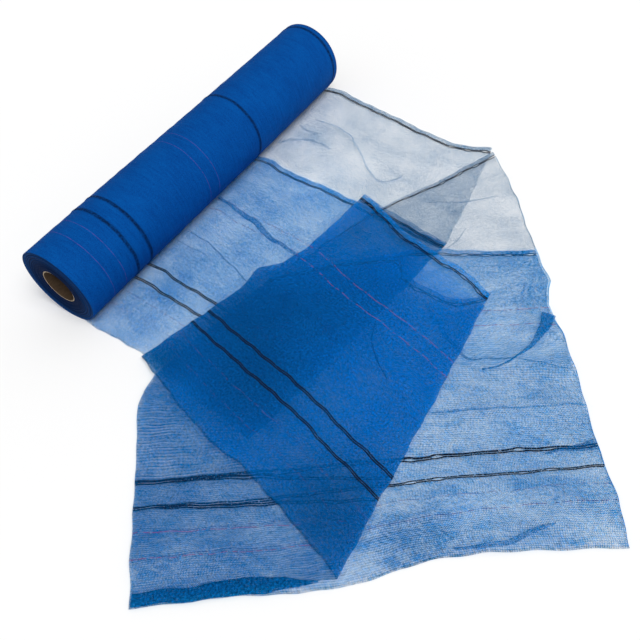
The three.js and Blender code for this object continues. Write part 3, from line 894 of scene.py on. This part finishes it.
rollLook = {
    "blue": (0.0008, 0.080, 0.330),
    "deep": (0.0003, 0.042, 0.215),
    # the end faces, painted far darker than the wraps' blue as painted shade between the wraps
    "end": (0.0010, 0.010, 0.045),
    # the colour of lighter wraps on the end faces and of the painted highlight at their rim
    "endRingAndRimHighlight": (0.0040, 0.045, 0.170),
    "band": (0.0008, 0.010, 0.045),
    "thread": (0.070, 0.055, 0.270),
    "bandHalf": 0.0052,
    "threadHalf": 0.0008,
    "roughness": 0.75,
    "gloss": 0.03,
    "relief": 0.35,
    "reliefDepth": 0.0012,
    "lineWander": 0.004,
}
rollNoises = {
    "clouds": {"scale": 9, "detail": 3, "of": (0.30, 0.70), "to": (0.35, 0.65)},
    "hoops": {"scale": 40, "detail": 3, "of": (0.30, 0.70), "to": (-0.22, 0.22), "stretch": (5, 0.5, 0.5)},
    "knit": {"scale": 460, "detail": 3, "of": (0.32, 0.68), "to": (-0.42, 0.42), "stretch": (0.7, 1, 1)},
    "frayed": {"scale": 160, "detail": 3, "of": (0.30, 0.62), "to": (0, 1), "shift": 2.2},
}


def rollMaterial():
    material, tree = newMaterial("wound_net")
    cloth, alongRoll, _ = clothPlace(tree)
    stray = maths(tree, "SUBTRACT", noiseOn(tree, cloth, 22, 3), 0.5)
    shifted = maths(tree, "MULTIPLY_ADD", stray, rollLook["lineWander"], alongRoll)
    coords = node(tree, "ShaderNodeTexCoord").outputs["Object"]
    names = ("clouds", "hoops", "knit", "frayed")
    clouds, hoops, knit, frayed = (uneven(tree, coords, **rollNoises[name]) for name in names)
    mottled = maths(tree, "ADD", maths(tree, "ADD", clouds, hoops), knit)
    colour = blend(tree, mottled, rollLook["deep"], rollLook["blue"])
    worn = remap(tree, frayed, 0, 1, 0.45, 0.95)
    for shares, half, look, showing in (
        (threadPlaces, rollLook["threadHalf"], "thread", frayed),
        (bandPlaces, rollLook["bandHalf"], "band", worn),
    ):
        for share in shares:
            away = maths(tree, "ABSOLUTE", maths(tree, "SUBTRACT", shifted, rollPlace(share)))
            soft = remap(tree, away, half * 1.6, half * 0.4, 0, 1, "SMOOTHSTEP")
            colour = blend(tree, maths(tree, "MULTIPLY", soft, showing), colour, rollLook[look])
    # The end faces: the dark colour is painted shade, with lighter wraps and a painted highlight at the rim
    ends = blend(tree, attribute(tree, "ring_and_rim_highlight"), rollLook["end"], rollLook["endRingAndRimHighlight"])
    colour = blend(tree, attribute(tree, "end_face"), colour, ends)
    showSurface(tree, reliefSurface(tree, colour, maths(tree, "ADD", knit, hoops), rollLook))
    return material


wraps = makeRoll()
wraps.data.materials.append(rollMaterial())
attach(wraps, "root")
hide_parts("wound_roll")
print("roll", len(wraps.data.polygons), "faces")

# The core: a spiral-wound board tube
coreSizes = {
    "wall": 0.0042,
    "bevel": 0.0006,
    "roundSteps": 128,
    "lengthSteps": 24,
    "seamPitch": 0.110,
    "board": (0.300, 0.225, 0.150),
    "edge": (0.420, 0.340, 0.250),
    # the bore's wall, painted dark as painted shade inside the tube
    "inside": (0.060, 0.038, 0.022),
    "roughness": 0.85,
    "gloss": 0.15,
    "relief": 0.4,
    "reliefDepth": 0.0003,
}


def makeCore():
    outer, bevel = coreRadius, coreSizes["bevel"]
    inner = outer - coreSizes["wall"]
    near, far = coreLow[0], coreHigh[0]
    lengths = np.linspace(near + bevel, far - bevel, coreSizes["lengthSteps"])
    profile = [(x, outer, 0.0) for x in lengths]
    profile += [(far, outer - bevel, 1.0), (far, inner + bevel, 1.0)]
    profile += [(x, inner, 2.0) for x in lengths[::-1]]
    profile += [(near, inner + bevel, 1.0), (near, outer - bevel, 1.0)]
    steps = coreSizes["roundSteps"]
    angles = 2 * math.pi * np.arange(steps) / steps
    verts, uvs, part = [], [], []
    middle = (coreLow[1] + coreHigh[1]) / 2
    for x, radius, kind in profile:
        y, z = middle + radius * np.cos(angles), axisHeight + radius * np.sin(angles)
        verts.append(np.stack([np.full(steps, x), y, z], axis=-1))
        uvs.append(np.stack([np.full(steps, x), angles / (2 * math.pi) * coreSizes["seamPitch"]], axis=-1))
        part.append(np.full(steps, kind))
    values = {"wall_side": np.concatenate(part)}
    faces = ringFaces(len(profile), steps)
    return meshObject("core_tube", np.concatenate(verts), faces, np.concatenate(uvs), values)


def cardboardMaterial():
    material, tree = newMaterial("spiral_board")
    coords = node(tree, "ShaderNodeTexCoord").outputs["Object"]
    fibres = noiseOn(tree, coords, 260, 4, (0.25, 1, 1))
    blotches = noiseOn(tree, coords, 25, 3)
    side = attribute(tree, "wall_side")
    colour = blend(tree, maths(tree, "MINIMUM", side, 1.0), coreSizes["board"], coreSizes["edge"])
    # painted shade: the inner wall takes the dark inside colour
    colour = blend(tree, maths(tree, "GREATER_THAN", side, 1.02), colour, coreSizes["inside"])
    _, alongTube, roundTube = clothPlace(tree)
    turn = maths(tree, "ADD", alongTube, roundTube)
    fromSeam = maths(tree, "PINGPONG", turn, coreSizes["seamPitch"] / 2)
    seam = remap(tree, fromSeam, 0.0004, 0.0012, 0.55, 1.0)
    tone = remap(tree, fibres, 0.30, 0.70, 0.75, 1.2)
    tone = maths(tree, "MULTIPLY", tone, remap(tree, blotches, 0.30, 0.70, 0.85, 1.12))
    shaded = scaled(tree, colour, maths(tree, "MULTIPLY", tone, seam))
    showSurface(tree, reliefSurface(tree, shaded, fibres, coreSizes))
    return material


coreTube = makeCore()
coreTube.data.materials.append(cardboardMaterial())
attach(coreTube, "root")
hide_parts("core")
print("core", len(coreTube.data.polygons), "faces")

# Yarns knitted into the net. Each link is drawn flat, x along and y across, and Geometry Nodes lay a row
# of links on the net by its own flat map.
longestRow = 3.6
bandSizes = {
    "pitch": 0.058,  # from one eyelet to the next
    "slotLength": 0.021,
    "slotHalf": 0.0034,
    "slitHalf": 0.0010,  # between the two rails, also where a slot is pulled shut
    "railWidth": 0.0026,
    "barHalf": 0.0038,
    "thick": 0.0009,
    "stations": 18,
    "start": 0.004,  # of the first row of a piece, from the roll
    "startShift": 0.017,  # of each row after it
    "rows": {
        "first_selvedge_band": {"shares": bandPlaces[:1], "closedBefore": 0.58, "least": 0.75, "most": 1.0},
        "second_selvedge_band": {"shares": bandPlaces[3:], "closedBefore": 1.12, "least": 0.55, "most": 1.0},
        "centre_bands": {"shares": bandPlaces[1:3], "closedBefore": 2.70, "least": -0.5, "most": 0.9},
    },
}
threadSizes = {"pitch": 0.009, "swing": 0.0005, "width": 0.0009, "thick": 0.0003, "start": 0.002}


# lines are rails from an inner to an outer edge, each with how far it moves when the slot is pulled shut
def stripLink(name, stations, lines, thick):
    verts, faces, closing = [], [], []
    for inner, outer, innerShift, outerShift in lines:
        first = len(verts)
        for x, a, b, shiftA, shiftB in zip(stations, inner, outer, innerShift, outerShift):
            verts += [(x, a, 0), (x, a, thick), (x, b, thick), (x, b, 0)]
            closing += [shiftA, shiftA, shiftB, shiftB]
        for i in range(len(stations) - 1):
            at = first + 4 * i
            faces += [(at + k, at + (k + 1) % 4, at + 4 + (k + 1) % 4, at + 4 + k) for k in range(4)]
        last = first + 4 * (len(stations) - 1)
        faces += [(first + 3, first + 2, first + 1, first), (last, last + 1, last + 2, last + 3)]
    return meshObject(name, verts, faces, values={"closing": closing})


def eyeletLink():
    x = np.linspace(0, bandSizes["pitch"], bandSizes["stations"])
    away = np.abs(x - bandSizes["pitch"] / 2) / (bandSizes["slotLength"] / 2)
    slot = bandSizes["slotHalf"] * np.clip(1 - away ** 4, 0, 1) ** 0.5
    gap = np.maximum(slot, bandSizes["slitHalf"])
    outer = np.maximum(gap + bandSizes["railWidth"], bandSizes["barHalf"])
    drawnIn = outer - bandSizes["barHalf"]
    shut = gap - bandSizes["slitHalf"]
    lines = [(-gap, -outer, shut, drawnIn), (outer, gap, -drawnIn, -shut)]
    return stripLink("eyelet_link", x, lines, bandSizes["thick"])


def threadLink():
    x = np.linspace(0, threadSizes["pitch"], 5)
    middle = threadSizes["swing"] * np.array([-1, 0.2, 1, -0.2, -1])
    half = threadSizes["width"] / 2
    still = np.zeros(len(x))
    return stripLink("thread_link", x, [(middle + half, middle - half, still, still)], threadSizes["thick"])


def vectorOf(tree, *parts):
    made = node(tree, "ShaderNodeCombineXYZ")
    for socket, value in zip(made.inputs, parts):
        tree.links.new(value, socket)
    return made.outputs[0]


def stored(tree, name, kind="FLOAT"):
    made = node(tree, "GeometryNodeInputNamedAttribute", data_type=kind)
    made.inputs["Name"].default_value = name
    return made.outputs["Attribute"]


def store(tree, name, geometry, value):
    made = node(tree, "GeometryNodeStoreNamedAttribute", data_type="FLOAT", domain="POINT")
    made.inputs["Name"].default_value = name
    tree.links.new(geometry, made.inputs["Geometry"])
    tree.links.new(value, made.inputs["Value"])
    return made.outputs[0]


def objectShape(tree, given):
    made = node(tree, "GeometryNodeObjectInfo")
    tree.links.new(given, made.inputs["Object"])
    return made.outputs["Geometry"]


# Each start is copied along its row, gets a link there, and the link is laid on the surface by the flat map
def layingTree():
    tree = bpy.data.node_groups.new("lay_links_on_net", "GeometryNodeTree")
    for name, kind in (
        ("Starts", "Geometry"), ("Surface", "Object"), ("Link", "Object"), ("Pitch", "Float"),
        ("Count", "Int"), ("Closed Before", "Float"), ("Open Least", "Float"), ("Open Most", "Float"),
        ("Seed", "Int"), ("Finish", "Material"),
    ):
        tree.interface.new_socket(name, in_out="INPUT", socket_type="NodeSocket" + kind)
    tree.interface.new_socket("Links", in_out="OUTPUT", socket_type="NodeSocketGeometry")
    link = tree.links.new
    given = node(tree, "NodeGroupInput").outputs
    result = node(tree, "NodeGroupOutput")

    copies = node(tree, "GeometryNodeDuplicateElements", domain="POINT")
    link(given["Starts"], copies.inputs["Geometry"])
    link(given["Count"], copies.inputs["Amount"])
    walked = maths(tree, "MULTIPLY", copies.outputs["Duplicate Index"], given["Pitch"])
    spaced = node(tree, "GeometryNodeSetPosition")
    link(copies.outputs["Geometry"], spaced.inputs["Geometry"])
    link(vectorOf(tree, walked), spaced.inputs["Offset"])

    # How far open each slot is: shut nearer to the roll than a given length, and at random past it
    opening = node(tree, "FunctionNodeRandomValue", data_type="FLOAT")
    link(given["Open Least"], opening.inputs[2])
    link(given["Open Most"], opening.inputs[3])
    link(given["Seed"], opening.inputs["Seed"])
    pastClosed = maths(tree, "GREATER_THAN", walked, given["Closed Before"])
    openShare = maths(tree, "MULTIPLY", maths(tree, "MAXIMUM", opening.outputs[1], 0.0), pastClosed)
    placed = node(tree, "GeometryNodeInstanceOnPoints")
    link(store(tree, "open", spaced.outputs[0], openShare), placed.inputs["Points"])
    link(objectShape(tree, given["Link"]), placed.inputs["Instance"])
    flat = node(tree, "GeometryNodeRealizeInstances")
    link(placed.outputs[0], flat.inputs[0])

    # The place in the flat map that each point of a link belongs to
    place = node(tree, "GeometryNodeInputPosition")
    parts = node(tree, "ShaderNodeSeparateXYZ")
    link(place.outputs[0], parts.inputs[0])
    shut = maths(tree, "SUBTRACT", 1.0, stored(tree, "open"))
    across = maths(tree, "MULTIPLY_ADD", shut, stored(tree, "closing"), parts.outputs["Y"])
    where = vectorOf(tree, across, parts.outputs["X"])

    surface = objectShape(tree, given["Surface"])
    flatMap = stored(tree, "cloth", "FLOAT_VECTOR")
    samples = []
    for source in ("GeometryNodeInputPosition", "GeometryNodeInputNormal"):
        sample = node(tree, "GeometryNodeSampleUVSurface", data_type="FLOAT_VECTOR")
        link(surface, sample.inputs["Mesh"])
        link(node(tree, source).outputs[0], sample.inputs["Value"])
        link(flatMap, sample.inputs["Source UV Map"])
        link(where, sample.inputs["Sample UV"])
        samples.append(sample.outputs)
    height = parts.outputs["Z"]
    raised = node(tree, "ShaderNodeVectorMath", operation="MULTIPLY_ADD")
    link(samples[1]["Value"], raised.inputs[0])
    link(vectorOf(tree, height, height, height), raised.inputs[1])
    link(samples[0]["Value"], raised.inputs[2])
    laid = node(tree, "GeometryNodeSetPosition")
    link(store(tree, "on_net", flat.outputs[0], samples[0]["Is Valid"]), laid.inputs["Geometry"])
    link(raised.outputs[0], laid.inputs["Position"])

    # What lies past the end of the net is cut off
    trimmed = node(tree, "GeometryNodeDeleteGeometry", domain="POINT")
    link(laid.outputs[0], trimmed.inputs["Geometry"])
    link(maths(tree, "LESS_THAN", stored(tree, "on_net"), 0.5), trimmed.inputs["Selection"])
    real = node(tree, "GeometryNodeRealizeInstances")
    link(trimmed.outputs[0], real.inputs[0])
    dressed = node(tree, "GeometryNodeSetMaterial")
    link(real.outputs[0], dressed.inputs["Geometry"])
    link(given["Finish"], dressed.inputs["Material"])
    link(dressed.outputs[0], result.inputs["Links"])
    return tree


# Rows of links from their starts (along, across), laid on the surface and turned into a plain mesh
def layLinks(name, tree, surface, linkShape, starts, settings, finish):
    carrier = meshObject(name, [(along, across, 0) for along, across in starts], [])
    modifier = carrier.modifiers.new("laying", "NODES")
    modifier.node_group = tree
    values = {"Surface": surface, "Link": linkShape, "Finish": finish, **settings}
    for item in tree.interface.items_tree:
        if item.item_type == "SOCKET" and item.in_out == "INPUT" and item.name in values:
            modifier[item.identifier] = values[item.name]
    carrier.update_tag()
    evaluated = carrier.evaluated_get(bpy.context.evaluated_depsgraph_get())
    mesh = bpy.data.meshes.new_from_object(evaluated)
    carrier.modifiers.remove(modifier)
    carrier.data = mesh
    return carrier


# pores is the share of a yarn that lets what is under it through, in specks of the given scale
yarnLooks = {
    "band": {
        "colour": (0.004, 0.009, 0.024), "pores": 0.415, "poreScale": 340,
        "roughness": 0.7, "gloss": 0.15, "relief": 0.5, "reliefDepth": 0.0004,
    },
    "thread": {
        "colour": (0.30, 0.085, 0.25), "pores": 0.46, "poreScale": 90,
        "roughness": 0.8, "gloss": 0.15, "relief": 0.5, "reliefDepth": 0.0004,
    },
}


def yarnMaterial(name):
    look = yarnLooks[name]
    material, tree = newMaterial(name + "_yarn")
    coords = node(tree, "ShaderNodeTexCoord").outputs["Object"]
    strands = noiseOn(tree, coords, 900, 3)
    dark, light = (tuple(c * share for c in look["colour"]) for share in (0.6, 1.5))
    surface = reliefSurface(tree, blend(tree, strands, dark, light), strands, look)
    clear = node(tree, "ShaderNodeBsdfTransparent")
    pores = noiseOn(tree, coords, look["poreScale"], 2, (1, 1, 1), 4.1)
    pore = maths(tree, "LESS_THAN", pores, look["pores"])
    showSurface(tree, mixShaders(tree, pore, surface, clear.outputs[0]))
    return material


def makeBands():
    tree = layingTree()
    eyelet, thread = eyeletLink(), threadLink()
    bandYarn, threadYarn = yarnMaterial("band"), yarnMaterial("thread")
    made = []
    for seed, (name, row) in enumerate(bandSizes["rows"].items()):
        starts = [
            (bandSizes["start"] + bandSizes["startShift"] * i, share * drawnWidth)
            for i, share in enumerate(row["shares"])
        ]
        settings = {
            "Pitch": bandSizes["pitch"], "Count": round(longestRow / bandSizes["pitch"]), "Seed": seed + 3,
            "Closed Before": row["closedBefore"], "Open Least": row["least"], "Open Most": row["most"],
        }
        made.append(layLinks(name, tree, looseNet, eyelet, starts, settings, bandYarn))
    starts = [(threadSizes["start"], share * drawnWidth) for share in threadPlaces]
    settings = {
        "Pitch": threadSizes["pitch"], "Count": round(longestRow / threadSizes["pitch"]), "Seed": 1,
        "Closed Before": -1.0, "Open Least": 1.0, "Open Most": 1.0,
    }
    made.append(layLinks("marker_threads", tree, looseNet, thread, starts, settings, threadYarn))
    for shape in (eyelet, thread):
        bpy.data.objects.remove(shape)
    return made


knittedIn = makeBands()
for yarns in knittedIn:
    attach(yarns, "root")
    print(yarns.name, len(yarns.data.polygons), "faces")

# Floor, light and camera
studio = {
    "floorColour": 0.93,
    "floorHalf": 12.0,
    "world": 0.48,
    "keyFrom": (-0.35, -1.40, 2.10),
    "keySpread": 36,  # degrees
    "keyStrength": 2.30,
    "cameraPlace": (-0.5887, -1.4837, 1.3413),  # from the middle of the roll's near end, on the floor
    "lookBack": (-0.4846, -0.4627, 0.7424),
    "cameraTurn": -14.02,
    "focalLength": 38.97,
}


def makeFloor():
    half = studio["floorHalf"]
    corners = [(-half, -half, 0), (half, -half, 0), (half, half, 0), (-half, half, 0)]
    floor = meshObject("floor", corners, [(0, 1, 2, 3)])
    material, tree = newMaterial("pale_floor")
    surface = node(tree, "ShaderNodeBsdfDiffuse")
    surface.inputs["Color"].default_value = (studio["floorColour"],) * 3 + (1,)
    showSurface(tree, surface.outputs[0])
    floor.data.materials.append(material)


def makeLights():
    world = bpy.data.worlds.new("studio")
    bpy.context.scene.world = world
    world.use_nodes = True
    world.node_tree.nodes["Background"].inputs["Color"].default_value = (1, 1, 1, 1)
    world.node_tree.nodes["Background"].inputs["Strength"].default_value = studio["world"]
    lamp = bpy.data.lights.new("key", "SUN")
    lamp.angle = math.radians(studio["keySpread"])
    lamp.energy = studio["keyStrength"]
    key = bpy.data.objects.new("key", lamp)
    key.rotation_mode = "QUATERNION"
    key.rotation_quaternion = (-Vector(studio["keyFrom"])).to_track_quat("-Z", "Y")
    bpy.context.collection.objects.link(key)


def makeCamera():
    back = Vector(studio["lookBack"]).normalized()
    level = Vector((-back.y, back.x, 0)).normalized()
    upright = back.cross(level)
    turn = math.radians(studio["cameraTurn"])
    right = math.cos(turn) * level + math.sin(turn) * upright
    up = back.cross(right)
    data = bpy.data.cameras.new("camera")
    data.lens = studio["focalLength"]
    data.sensor_width = 36
    camera = bpy.data.objects.new("camera", data)
    place = Vector(studio["cameraPlace"]) + Vector((*nearEnd, 0))
    axes = Matrix((right, up, back)).transposed()
    camera.matrix_world = Matrix.Translation(place) @ axes.to_4x4()
    bpy.context.collection.objects.link(camera)
    bpy.context.scene.camera = camera


makeFloor()
makeLights()
makeCamera()
bpy.context.scene.view_settings.view_transform = "Standard"
bpy.context.scene.cycles.transparent_max_bounces = 40
